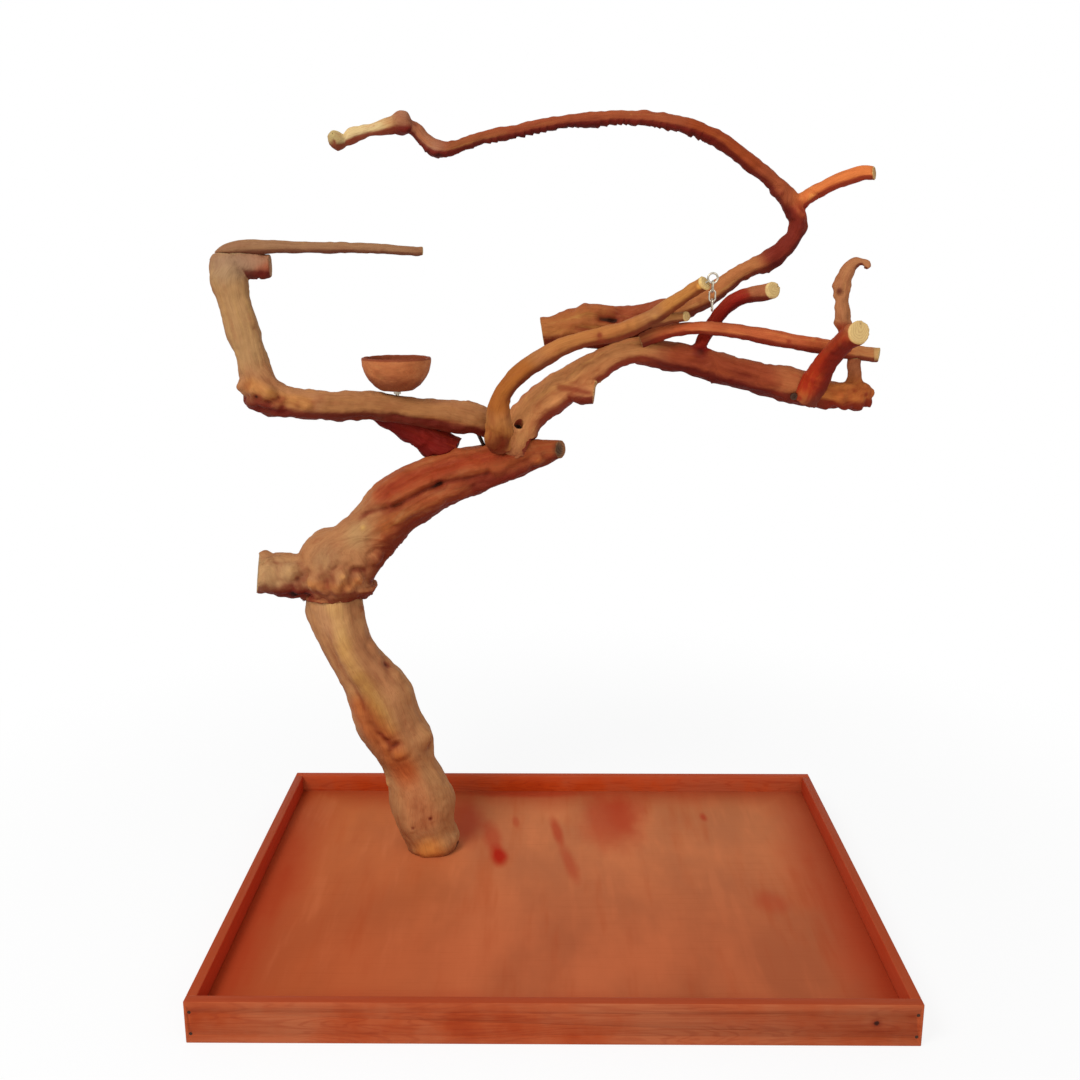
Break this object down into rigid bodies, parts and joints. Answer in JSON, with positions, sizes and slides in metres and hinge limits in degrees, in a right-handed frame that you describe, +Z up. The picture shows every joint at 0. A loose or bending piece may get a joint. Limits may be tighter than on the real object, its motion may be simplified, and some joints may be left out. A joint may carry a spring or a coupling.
{
  "type": "parrot play stand",
  "caption": "Free-standing bird perch: branches screwed into a tree on a shallow stained tray, with a round feed bowl and a short toy chain.",
  "frame": {"origin": "centre of the tray's underside, on the middle batten's bottom face", "axes": "+X to the right seen from the front, +Y to the back, +Z up"},
  "size_m": [0.8523, 0.584, 1.0235],
  "materials": {
    "stained_board": "red-brown stained softwood board",
    "stained_ply": "red-brown stained plywood",
    "raw_pine": "unfinished softwood",
    "coffee_wood": "bare, sanded coffee wood",
    "red_coffee_wood": "bare, reddish coffee wood",
    "bowl_wood": "turned wood, thin oil finish",
    "zinc_steel": "zinc plated",
    "stainless": "plain stainless steel"
  },
  "bodies": {
    "stand": {"front_rail": "stained_board", "back_rail": "stained_board", "left_rail": "stained_board", "right_rail": "stained_board", "floor_panel": "stained_ply", "left_batten": "raw_pine", "middle_batten": "raw_pine", "right_batten": "raw_pine", "trunk_pad": "raw_pine", "corner_nails": "zinc_steel", "floor_screws": "zinc_steel", "lag_bolts": "zinc_steel", "lag_washers": "zinc_steel", "lower_trunk": "coffee_wood", "main_limb": "red_coffee_wood", "left_arm": "coffee_wood", "arm_brace": "red_coffee_wood", "left_perch": "coffee_wood", "right_limb": "red_coffee_wood", "climbing_branch": "coffee_wood", "arch_branch": "red_coffee_wood", "cross_perch": "coffee_wood", "end_stub": "red_coffee_wood", "trunk_stud": "zinc_steel", "branch_screws": "zinc_steel", "hanger_bolt": "stainless", "jam_nut": "stainless", "bowl_rest_washer": "stainless", "screw_eye": "zinc_steel"},
    "bowl": {"bowl": "bowl_wood"},
    "captive_washer": {"captive_washer": "stainless"},
    "wing_nut": {"wing_nut": "stainless"},
    "link_top": {"link_top": "zinc_steel"},
    "link_middle": {"link_middle": "zinc_steel"},
    "link_bottom": {"link_bottom": "zinc_steel"}
  },
  "joints": [
    {"name": "bowl_swivel", "type": "hinge", "parent": "stand", "child": "bowl", "pos_m": [-0.201, 0.092, 0.6805], "axis": [0, 0, 1], "continuous": true},
    {"name": "nut_rise", "type": "slide", "parent": "stand", "child": "captive_washer", "axis": [0, 0, 1], "range_m": [0, 0.0041]},
    {"name": "nut_turn", "type": "hinge", "parent": "captive_washer", "child": "wing_nut", "pos_m": [-0.201, 0.092, 0.6875], "axis": [0, 0, 1], "range_deg": [0, 1800]},
    {"name": "link_top_swing", "type": "hinge", "parent": "stand", "child": "link_top", "pos_m": [0.19849, 0.067, 0.81529], "axis": [1, 0, 0], "range_deg": [-40, 40]},
    {"name": "link_middle_swing", "type": "hinge", "parent": "link_top", "child": "link_middle", "pos_m": [0.19849, 0.067, 0.80419], "axis": [0, 1, 0], "range_deg": [-40, 40]},
    {"name": "link_bottom_swing", "type": "hinge", "parent": "link_middle", "child": "link_bottom", "pos_m": [0.19849, 0.067, 0.79289], "axis": [1, 0, 0], "range_deg": [-40, 40]}
  ],
  "couplings": [
    {"joint": "nut_rise", "follows": "nut_turn", "m_per_rad": 0.00012732}
  ]
}
